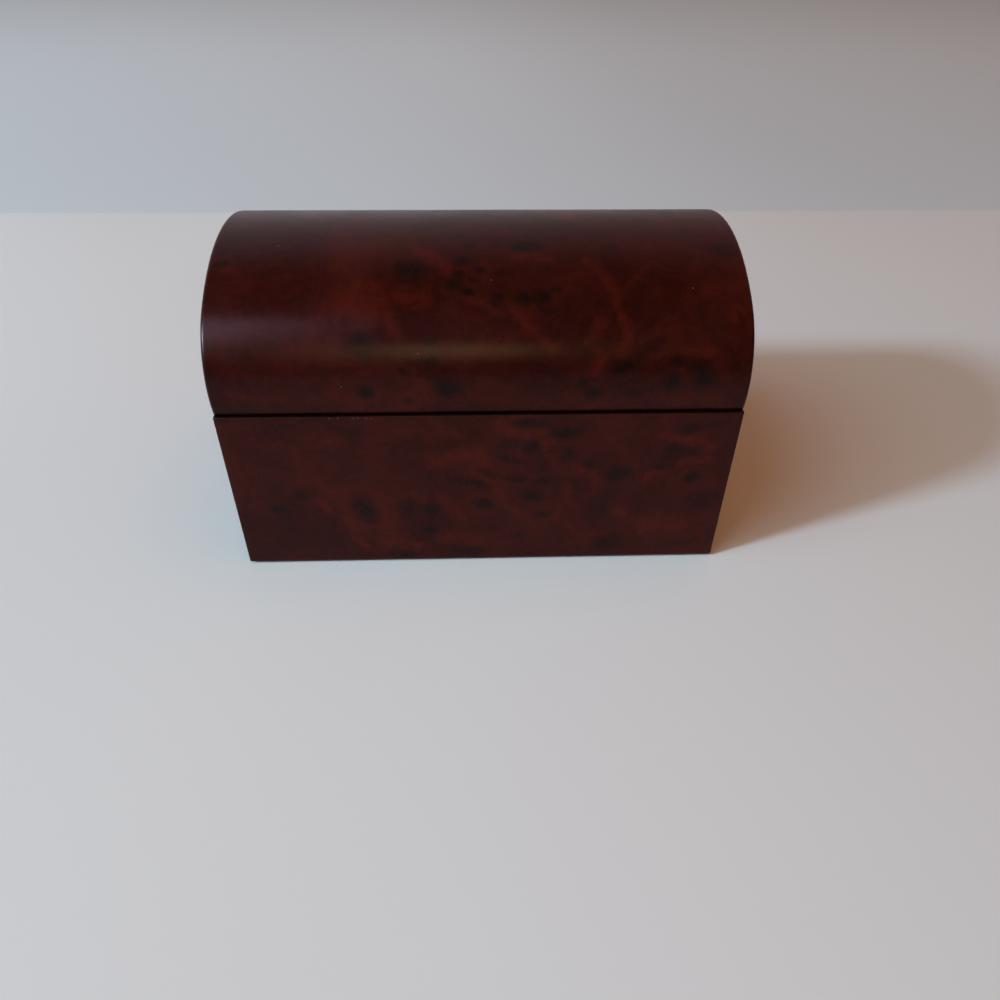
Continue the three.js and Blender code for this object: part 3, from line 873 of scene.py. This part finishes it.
def invent_figure(obj, rng, clusters, allowed, eyes, streaks):
    """Adds clusters of eyes with streaks round them, over the part of a piece that allowed
    accepts."""
    points = [v for v in obj.data.vertices if allowed(v.co / MM)]
    for _ in range(clusters):
        heart = rng.choice(points).co
        near = [v for v in points if (v.co - heart).length < CLUSTER_REACH * MM]
        for _ in range(rng.randint(*CLUSTER_EYES)):
            point = rng.choice(near)
            side = point.normal.orthogonal().normalized()
            side.rotate(Quaternion(point.normal, rng.uniform(0, math.pi)))
            length = rng.uniform(*EYE_LENGTHS)
            width = length * rng.uniform(*EYE_SLIMNESS)
            across = side.cross(point.normal) * width
            eyes.append((point.co / MM, side * length, across, rng.uniform(*EYE_STRENGTHS)))
        bends = [rng.choice(near).co for _ in range(4)]
        bends.sort(key=lambda p: (p.x + p.y, p.z))
        shares = [i / STREAK_PARTS for i in range(STREAK_PARTS + 1)]
        places = [smooth_between(obj, bends, share) / MM for share in shares]
        streaks += streak_rows(places, rng.uniform(*STREAK_WIDTHS), rng.uniform(*STREAK_STRENGTHS))


def smooth_between(obj, bends, share):
    """A place on a smooth line through four bends, brought down to the piece's surface."""
    a, b, c, d = bends
    rest = 1 - share
    place = a * rest**3 + b * (3 * rest * rest * share) + c * (3 * rest * share**2) + d * share**3
    return obj.closest_point_on_mesh(place)[1]


def write_attribute(obj, name, kind, field, values):
    layer = obj.data.attributes.get(name) or obj.data.attributes.new(name, kind, "POINT")
    layer.data.foreach_set(field, np.ascontiguousarray(values, np.float32).ravel())


def draw_figure(obj, eyes, streaks, tone):
    """Writes to each point how near the eyes are, how dark they are, how they bend the grain,
    how bright the flames and the painted highlight are and the tone of the sheet."""
    count = len(obj.data.vertices)
    places = np.zeros(count * 3, np.float32)
    obj.data.vertices.foreach_get("co", places)
    places = places.reshape(-1, 3) / MM
    nearest = np.full(count, NO_EYE)
    dark = np.zeros(count)
    bend = np.zeros((count, 3))
    for place, along, across, strength in eyes:
        away = places - np.array(place)
        normal = np.array(along.cross(across).normalized())
        share = (away @ np.array(along) / along.length_squared) ** 2
        share += (away @ np.array(across) / across.length_squared) ** 2
        share += (away @ normal / EYE_DEPTH) ** 2
        if along.length < EYE_LIMIT:
            nearest = np.minimum(nearest, np.sqrt(share))
        spot = strength * np.exp(-EYE_FADE * share**EYE_EDGE)
        dark = np.maximum(dark, spot) + OVERLAP * np.minimum(dark, spot)
        bend -= away * (BEND * strength * np.exp(-BEND_FADE * share))[:, None]
    glow = np.zeros(count)
    for x, y, z, width, strength in streaks:
        distance = np.linalg.norm(places - (x, y, z), axis=1) / width
        glow = np.maximum(glow, strength * np.exp(-(distance**2)))
    for name, values in (
        ("burl_eye", nearest),
        ("burl_dark", np.minimum(dark, DARKEST)),
        ("burl_flame", glow),
        ("burl_tone", np.full(count, tone)),
    ):
        write_attribute(obj, name, "FLOAT", "value", values)
    write_attribute(obj, "burl_bend", "FLOAT_VECTOR", "vector", bend)


# Pieces


def mortise_tools(side, rim):
    """Blocks that cut the hinges' mortises, below the rim for the case and above it for the lid."""
    depth = sizes().leaf * (1 if side == "lid" else -1)
    start, end = sorted((rim - depth / 4, rim + depth))
    tools = []
    for name in HINGES:
        low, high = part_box(f"{name}_{side}_leaf")
        near = (low.x - MORTISE_PLAY, low.y - MORTISE_PLAY, start)
        far = (high.x + MORTISE_PLAY, high.y + MORTISE_PLAY, end)
        tools.append(block(f"{name}_mortise", near, far))
    return joined(tools)


def case_wall(name, facing):
    """A wall of the case, cut with its mitres and rebate from the case's rounded block."""
    size = sizes()
    wall = FRONT_BOX[1].y - FRONT_BOX[0].y
    obj = block(f"{name}_veneered", CASE_LOW, CASE_HIGH + Z * 4 * size.arris)
    round_edges(obj, lambda e: True, size.arris)
    edit(obj)
    cut_away(Z * CASE_HIGH.z, Z)
    choose(obj, "edges", lambda e: lies_at(e, 2, CASE_HIGH.z))
    bevel(size.fine_arris, segments=3)
    half, side = CASE_HIGH.xy if facing.x else CASE_HIGH.yx
    run = Vector((abs(facing.y), abs(facing.x), 0))
    cut_away(facing * (half - wall), -facing)
    for way in (1, -1):
        corner = facing * half + run * side * way
        mitre = (run * way - facing).normalized()
        cut_away(corner - mitre * size.joint / 2, mitre)
    divide(obj, (run, Z), wall, size.veneer_step)
    tidy_normals(obj)
    low, high = FLOOR_BOX
    near = (low.x - FLOOR_PLAY, low.y - FLOOR_PLAY, low.z - wall)
    far = (high.x + FLOOR_PLAY, high.y + FLOOR_PLAY, high.z + FLOOR_PLAY / 2)
    combine(obj, block("rebate", near, far), "DIFFERENCE")
    if name == "back_wall":
        combine(obj, mortise_tools("case", CASE_HIGH.z), "DIFFERENCE")
    smooth(obj)
    return obj


class CASKET_OT_case_walls(bpy.types.Operator):
    """Models the four mitred walls of the case with their burl figure."""

    bl_idname = "casket.case_walls"
    bl_label = "Case walls"

    def execute(self, context):
        walls = {name: case_wall(name, facing) for name, facing in WALLS}
        rng = random.Random(CASE_SEED)
        eyes = read_ellipses(walls["front_wall"], FRONT_EYES)
        streaks = read_streaks(walls["front_wall"], FRONT_FLAMES)
        near, far = CASE_LOW / MM, CASE_HIGH / MM
        tests = {
            "right_wall": lambda p: p.x > far.x - SKIN,
            "back_wall": lambda p: p.y > far.y - SKIN,
            "left_wall": lambda p: p.x < near.x + SKIN,
        }
        for name, test in tests.items():
            invent_figure(walls[name], rng, CLUSTERS[name], test, eyes, streaks)
        for name, obj in walls.items():
            draw_figure(obj, eyes, streaks, CASE_TONE)
            finish_piece(obj, name, "case", burl_material())
        return {"FINISHED"}


def lid_crown():
    """The lid's bent top: a sheet over the arch with straight feet, thickened inward."""
    size = sizes()
    arch = Arch()
    low, high = CROWN_BOX
    obj = arch.sheet("lid_crown_veneered", low.x, high.x, low.z, size.veneer_step, size.veneer_step)
    edit(obj)
    inner, outer = high.x - 1.5 * size.veneer_step, high.x - 0.5 * size.veneer_step
    choose(obj, "edges", lambda e: all(inner < abs(v.co.x) < outer for v in e.verts))
    bpy.ops.mesh.dissolve_edges()
    for way in (1, -1):

        def is_foot(edge):
            return edge.is_boundary and all(
                v.co.z < low.z + TOUCH and v.co.y * way > 0 for v in edge.verts
            )

        choose(obj, "edges", is_foot)
        drop = size.shell / 2
        lean = math.tan(-arch.start(low.z)) * drop
        bpy.ops.mesh.extrude_region_move(
            TRANSFORM_OT_translate={"value": (0, -way * lean, -drop)}
        )
    thicken(obj, size.shell)
    edit(obj)
    cut_away(Z * low.z, -Z)
    done()
    tidy_normals(obj)

    def end_edge(edge):
        ends = [v.co for v in edge.verts]
        at_end = all(abs(abs(p.x) - high.x) < ON_FACE for p in ends)
        return is_sharp(edge) and at_end and arch.distance((ends[0] + ends[1]) / 2) < ON_FACE

    def rim_edge(edge):
        outside = all(abs(v.co.y) > high.y - size.shell / 2 for v in edge.verts)
        return is_sharp(edge) and lies_at(edge, 2, low.z, ON_FACE) and outside

    round_edges(obj, end_edge, size.end_arris, segments=8)
    round_edges(obj, rim_edge, size.fine_arris, segments=3)
    combine(obj, mortise_tools("lid", low.z), "DIFFERENCE")
    smooth(obj)
    return obj


def lid_end(name, way):
    """An end board of the lid, cut to the arch inside the bent top."""
    size = sizes()
    low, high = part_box(name)
    left, right = low.x - size.shell, high.x + size.shell
    arch = Arch(size.shell + size.joint)
    tool = arch.prism("end_outline", left, right, low.z - size.shell / 2, END_GRID)
    margin = Vector((0, END_MARGIN, 0))
    obj = block(f"{name}_veneered", low - margin, high + margin + margin.zxy)
    divide(obj, (Y, Z), size.shell, size.veneer_step)
    combine(obj, tool, "INTERSECT")
    tidy_normals(obj)
    face = high.x if way > 0 else low.x

    def foot_edge(edge):
        return lies_at(edge, 0, face, ON_FACE) and lies_at(edge, 2, low.z, ON_FACE)

    round_edges(obj, foot_edge, size.fine_arris, segments=3)
    smooth(obj)
    return obj


class CASKET_OT_lid(bpy.types.Operator):
    """Models the lid's bent top and its two end boards with their burl figure."""

    bl_idname = "casket.lid"
    bl_label = "Lid"

    def execute(self, context):
        crown = lid_crown()
        sides = (("lid_left_end", -1), ("lid_right_end", 1))
        ends = {name: lid_end(name, way) for name, way in sides}
        rng = random.Random(LID_SEED)
        arch = Arch()
        eyes = read_ellipses(crown, LID_EYES)
        streaks = read_streaks(crown, LID_FLAMES_AND_HIGHLIGHT)

        def behind(place):
            return place.y > CROWN_BACK and arch.distance(place * MM) < SKIN * MM

        def outside(place):
            return abs(place.x) > END_BOX[1].x / MM - SKIN

        invent_figure(crown, rng, CROWN_CLUSTERS, behind, eyes, streaks)
        for obj in ends.values():
            invent_figure(obj, rng, END_CLUSTERS, outside, eyes, streaks)
        for name, obj in (("lid_crown", crown), *ends.items()):
            draw_figure(obj, eyes, streaks, LID_TONE)
            finish_piece(obj, name, "lid", burl_material())
        return {"FINISHED"}


class CASKET_OT_specks(bpy.types.Operator):
    """Adds the specks of dust on the lid and the nicks in the lacquer of the case."""

    bl_idname = "casket.specks"
    bl_label = "Dust and nicks"

    def execute(self, context):
        places = []
        for name, pixels in (("lid_crown_veneered", DUST), ("front_wall_veneered", NICKS)):
            places += [seen_at(bpy.data.objects[name], pixel)[0] for pixel in pixels]
        add_specks(burl_material(), places)
        return {"FINISHED"}


def wrapped_board(name):
    """A lining board as a block with its edges rounded where the cloth turns over them."""
    low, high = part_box(name)
    obj = block(f"{name}_cloth", low, high)
    round_edges(obj, lambda e: lies_at(e, 2, high.z), sizes().lining_round, segments=5)
    smooth(obj)
    return obj


class CASKET_OT_case_lining(bpy.types.Operator):
    """Models the cloth-wrapped boards that line the case."""

    bl_idname = "casket.case_lining"
    bl_label = "Case lining"

    def execute(self, context):
        for side in ("front", "right", "back", "left"):
            name = f"lining_{side}"
            finish_piece(wrapped_board(name), name, "case", suede_material())
        return {"FINISHED"}


class CASKET_OT_floor_pad(bpy.types.Operator):
    """Models the padded cloth on the floor of the case, swollen by a cloth simulation."""

    bl_idname = "casket.floor_pad"
    bl_label = "Floor pad"

    def execute(self, context):
        low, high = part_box("floor_pad")
        near = (low.x + PAD_MARGIN, low.y + PAD_MARGIN, low.z)
        far = (high.x - PAD_MARGIN, high.y - PAD_MARGIN, low.z + sizes().pad_start)
        obj = block("floor_pad_cloth", near, far)
        round_edges(obj, lambda e: True, PAD_ROUND, segments=3)
        divide(obj, (X, Y), 4 * PAD_GRID, PAD_GRID)
        tidy_normals(obj)
        swell(obj, Z, low, high)
        smooth(obj, angle=60)
        finish_piece(obj, "floor_pad", "case", suede_material())
        return {"FINISHED"}


def swell(obj, way, low, high):
    """Fills a pad that is glued down by cloth pressure, so that its crown just reaches the far side
    of its box."""
    flat = [v.co.copy() for v in obj.data.vertices]
    base = min(place.dot(way) for place in flat)
    glued = obj.vertex_groups.new(name="glued")
    glued.add([i for i, place in enumerate(flat) if place.dot(way) < base + TOUCH], 1, "REPLACE")
    pick(obj)
    bpy.ops.object.modifier_add(type="CLOTH")
    cloth = obj.modifiers[-1]
    cloth.settings.use_pressure = True
    cloth.settings.uniform_pressure_force = PRESSURE
    cloth.settings.vertex_group_mass = glued.name
    cloth.settings.effector_weights.gravity = 0
    cloth.settings.quality = QUALITY
    cloth.settings.tension_stiffness = STIFFNESS
    cloth.settings.compression_stiffness = STIFFNESS
    cloth.point_cache.frame_start = 1
    cloth.point_cache.frame_end = FRAMES
    for step in range(1, FRAMES + 1):
        bpy.context.scene.frame_set(step)
    bpy.ops.object.modifier_apply(modifier=cloth.name)
    bpy.context.scene.frame_set(1)
    points = obj.data.vertices
    edge = max(place.dot(way) for place in flat)
    room = max(low.dot(way), high.dot(way)) - edge
    share = room / max(point.co.dot(way) - edge for point in points)
    for point, place in zip(points, flat):
        move = point.co - place
        place = place + move + way * move.dot(way) * (share - 1)
        point.co = [min(max(place[i], low[i]), high[i]) for i in range(3)]


def end_panel(name, way, arch):
    """A padded panel under the arch that swells from the lid's end towards the middle."""
    size = sizes()
    low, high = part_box(name)
    back = low.x if way > 0 else high.x
    front = back + way * size.panel_start
    left, right = sorted((back, front))
    past = size.shell
    tool = arch.prism("panel_outline", left - past, right + past, low.z - past, PANEL_GRID)
    near, far = (left, low.y - past, low.z), (right, high.y + past, high.z + past)
    panel = block(f"{name}_cloth", near, far)
    divide(panel, (Y, Z), past, PANEL_GRID)
    combine(panel, tool, "INTERSECT")
    tidy_normals(panel)

    def turned_edge(edge):
        return lies_at(edge, 0, front) and is_sharp(edge)

    round_edges(panel, turned_edge, PANEL_ROUND, segments=3)
    swell(panel, X * way, low, high)
    smooth(panel, angle=60)
    return panel


class CASKET_OT_lid_lining(bpy.types.Operator):
    """Models the bent cloth-covered card and the two padded panels inside the lid."""

    bl_idname = "casket.lid_lining"
    bl_label = "Lid lining"

    def execute(self, context):
        low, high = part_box("lid_crown_lining")
        arch = Arch(CROWN_BOX[1].z - high.z)
        obj = arch.sheet("lid_crown_lining_cloth", low.x, high.x, low.z, *CARD_GRID)
        thicken(obj, CARD)
        tidy_normals(obj)
        smooth(obj)
        finish_piece(obj, "lid_crown_lining", "lid", suede_material())
        for name, way in (("lid_left_lining", 1), ("lid_right_lining", -1)):
            panel = end_panel(name, way, arch)
            finish_piece(panel, name, "lid", suede_material())
        return {"FINISHED"}


class CASKET_OT_underside(bpy.types.Operator):
    """Gives the floor board and the felt under it their finishes."""

    bl_idname = "casket.underside"
    bl_label = "Underside"

    def execute(self, context):
        dress(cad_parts["floor_board"], board_material())
        dress(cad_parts["underside_felt"], felt_material())
        return {"FINISHED"}


class CASKET_OT_hinges(bpy.types.Operator):
    """Gives the hinges, their pins and their screws a satin brass finish."""

    bl_idname = "casket.hinges"
    bl_label = "Hinges"

    def execute(self, context):
        brass = brass_material()
        for name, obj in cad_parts.items():
            if "hinge" in name:
                dress(obj, brass)
        return {"FINISHED"}


# Stage

# Each lamp: name, degrees round from the front to the right, degrees up, distance and width in
# metres, height as a share of the width, watts, colour, and whether it lights the colours and the
# gloss of what it falls on
LAMPS = (
    ("window", -68, 29, 3.8, 0.5, 1.0, 154, (0.58, 0.81, 1.0), True, True),
    ("window_wall", -60, 50, 2.4, 1.6, 1.0, 23, (0.64, 0.95, 1.0), True, False),
    ("ceiling_lamp", 92, 78, 2.4, 2.0, 1.0, 13, (1.0, 0.23, 0.01), True, False),
    ("warm_sheen", -3, 29, 2.0, 0.38, 1.6, 3.9, (1.0, 0.7, 0.36), False, True),
    ("window_sheen", -43, 43, 2.4, 0.8, 2.3, 19.8, (0.8, 0.68, 1.0), False, True),
    ("curtain", -56, 34, 2.4, 0.8, 1.3, 58, (0.85, 0.82, 1.0), False, True),
)
LAMPS_AIM = Vector((0, 0, 0.06))

# The table reaches as far as its two long edges, with painted shade darkening its top towards the
# right, away from the window; the ground past them is darker
TABLE_BACK = 0.385
TABLE_FRONT = -0.36
TABLE_REACH = 3
TABLE_EDGE = 0.003
GROUND_FADE = 1.3

# What the camera sees past the table
BACKDROP = (0.4, 0.4, 0.42)


def aim_lamp(name, turn, rise, distance, width, share, power, colour, on_colours, on_gloss):
    """Adds an area light at a turn from the front and a rise above the table."""
    turn, rise = math.radians(turn), math.radians(rise)
    way = Vector(
        (math.sin(turn) * math.cos(rise), -math.cos(turn) * math.cos(rise), math.sin(rise))
    )
    pick()
    bpy.ops.object.light_add(type="AREA", location=LAMPS_AIM + way * distance)
    lamp = bpy.context.object
    lamp.name = name
    lamp.data.shape = "ELLIPSE"
    lamp.data.size = width
    lamp.data.size_y = width * share
    lamp.data.energy = power
    lamp.data.color = colour
    lamp.visible_diffuse = on_colours
    lamp.visible_glossy = on_gloss
    lamp.rotation_euler = way.to_track_quat("Z", "Y").to_euler()


def table_material():
    material, tree = network("table")
    place = node(tree, "ShaderNodeTexCoord", "Object")
    across, depth = axes(place, "XY")
    top, ground = Vector(colours().table), Vector(colours().ground)
    colour = mix(span(noise(place, 1.6), 0.3, 0.7), top * 0.97, top * 1.03)
    behind = span(depth, TABLE_BACK, TABLE_BACK + TABLE_EDGE)
    ahead = span(depth, TABLE_FRONT, TABLE_FRONT - TABLE_EDGE)
    past = mix(span(depth, TABLE_BACK, GROUND_FADE), ground, ground * 1.15)
    colour = mix(maths("MAXIMUM", behind, ahead), colour, past)
    # Painted shade: the top darker towards the right, away from the window
    colour = times(colour, span(across, -0.1, 0.4, 1.0, 0.91))
    surface(colour, 0.55, Specular_IOR_Level=0.15)
    return material


def room_light():
    """Dim air round the casket. Its gloss sees the pale wall behind the table, brighter towards
    the window, and the camera sees a plain pale ground."""
    world = bpy.data.worlds.new("room_light")
    world.use_nodes = True
    tree = world.node_tree
    tree.nodes.clear()
    across, depth, rise = axes(node(tree, "ShaderNodeTexCoord", "Generated"), "XYZ")

    # Each side of the air: its axis, where it starts and is full, and the colour that it adds
    air = (0.01, 0.0, 0.0)
    for direction, low, high, colour in (
        (depth, 0.2, -0.2, (0.25, 0.225, 0.135)),
        (across, 0.2, -0.2, (0.12, 0.125, 0.147)),
        (across, -0.2, 0.2, (0.095, 0.045, 0.035)),
        (rise, 0.6, 0.8, (0.13, 0.05, 0.0)),
    ):
        air = plus(times(span(direction, low, high, soft=False), colour), air)

    # What the gloss sees
    paint = mix(span(across, -0.35, 0.3), (0.6, 0.58, 0.63), (0.36, 0.29, 0.29))
    seen = times(span(rise, 0.72, 0.97, 1, 0), span(depth, -0.2, 0.6))
    gloss = mix(seen, (0.07, 0.06, 0.055), paint)
    lit = node(tree, "ShaderNodeBackground", inputs={"Color": air, "Strength": 1.0})
    paths = tree.nodes.new("ShaderNodeLightPath").outputs
    for path, colour in (("Is Glossy Ray", gloss), ("Is Camera Ray", BACKDROP)):
        shown = node(tree, "ShaderNodeBackground", inputs={"Color": colour, "Strength": 1.0})
        lit = node(tree, "ShaderNodeMixShader", inputs={0: paths[path], 1: lit, 2: shown})
    feed(tree.nodes.new("ShaderNodeOutputWorld").inputs[0], lit)
    return world


def picture_camera():
    pick()
    bpy.ops.object.camera_add(location=CAMERA_PLACE)
    camera = bpy.context.object
    camera.name = "picture_camera"
    right, down, forward = camera_turn()
    turn = Matrix((right, -down, -forward)).transposed().to_4x4()
    camera.matrix_world = Matrix.Translation(CAMERA_PLACE) @ turn
    camera.data.sensor_width = SENSOR
    camera.data.lens = FOCAL_PIXELS / PICTURE_PIXELS * SENSOR
    camera.data.clip_start, camera.data.clip_end = CAMERA_CLIP
    return camera


class CASKET_OT_stage(bpy.types.Operator):
    """Sets the table, the soft light and the camera of the picture."""

    bl_idname = "casket.stage"
    bl_label = "Stage"

    def execute(self, context):
        pick()
        bpy.ops.mesh.primitive_plane_add(size=2 * TABLE_REACH, location=(0, 0, 0))
        table = context.object
        table.name = "table_top"
        dress(table, table_material())
        for lamp in LAMPS:
            aim_lamp(*lamp)
        context.scene.world = room_light()
        context.scene.camera = picture_camera()
        context.scene.view_settings.view_transform = "Standard"
        return {"FINISHED"}


class CASKET_PT_panel(bpy.types.Panel):
    """Lists the steps that build the casket."""

    bl_idname = "CASKET_PT_panel"
    bl_label = "Casket"
    bl_space_type = "VIEW_3D"
    bl_region_type = "UI"
    bl_category = "Casket"

    def draw(self, context):
        for step in STEPS:
            self.layout.operator(step.bl_idname)
        for group in (context.scene.casket_sizes, context.scene.casket_colours):
            for name in group.__annotations__:
                self.layout.prop(group, name)


STEPS = (
    CASKET_OT_case_walls,
    CASKET_OT_lid,
    CASKET_OT_specks,
    CASKET_OT_case_lining,
    CASKET_OT_floor_pad,
    CASKET_OT_lid_lining,
    CASKET_OT_underside,
    CASKET_OT_hinges,
    CASKET_OT_stage,
)
GROUPS = (CasketSizes, CasketColours)


def register():
    for kind in (*GROUPS, *STEPS, CASKET_PT_panel):
        bpy.utils.register_class(kind)
    bpy.types.Scene.casket_sizes = bpy.props.PointerProperty(type=CasketSizes)
    bpy.types.Scene.casket_colours = bpy.props.PointerProperty(type=CasketColours)


def unregister():
    del bpy.types.Scene.casket_colours
    del bpy.types.Scene.casket_sizes
    for kind in reversed((*GROUPS, *STEPS, CASKET_PT_panel)):
        bpy.utils.unregister_class(kind)


def main():
    register()
    bpy.ops.casket.case_walls()
    bpy.ops.casket.lid()
    bpy.ops.casket.specks()
    bpy.ops.casket.case_lining()
    bpy.ops.casket.floor_pad()
    bpy.ops.casket.lid_lining()
    bpy.ops.casket.underside()
    bpy.ops.casket.hinges()
    bpy.ops.casket.stage()


if __name__ == "__main__":
    main()
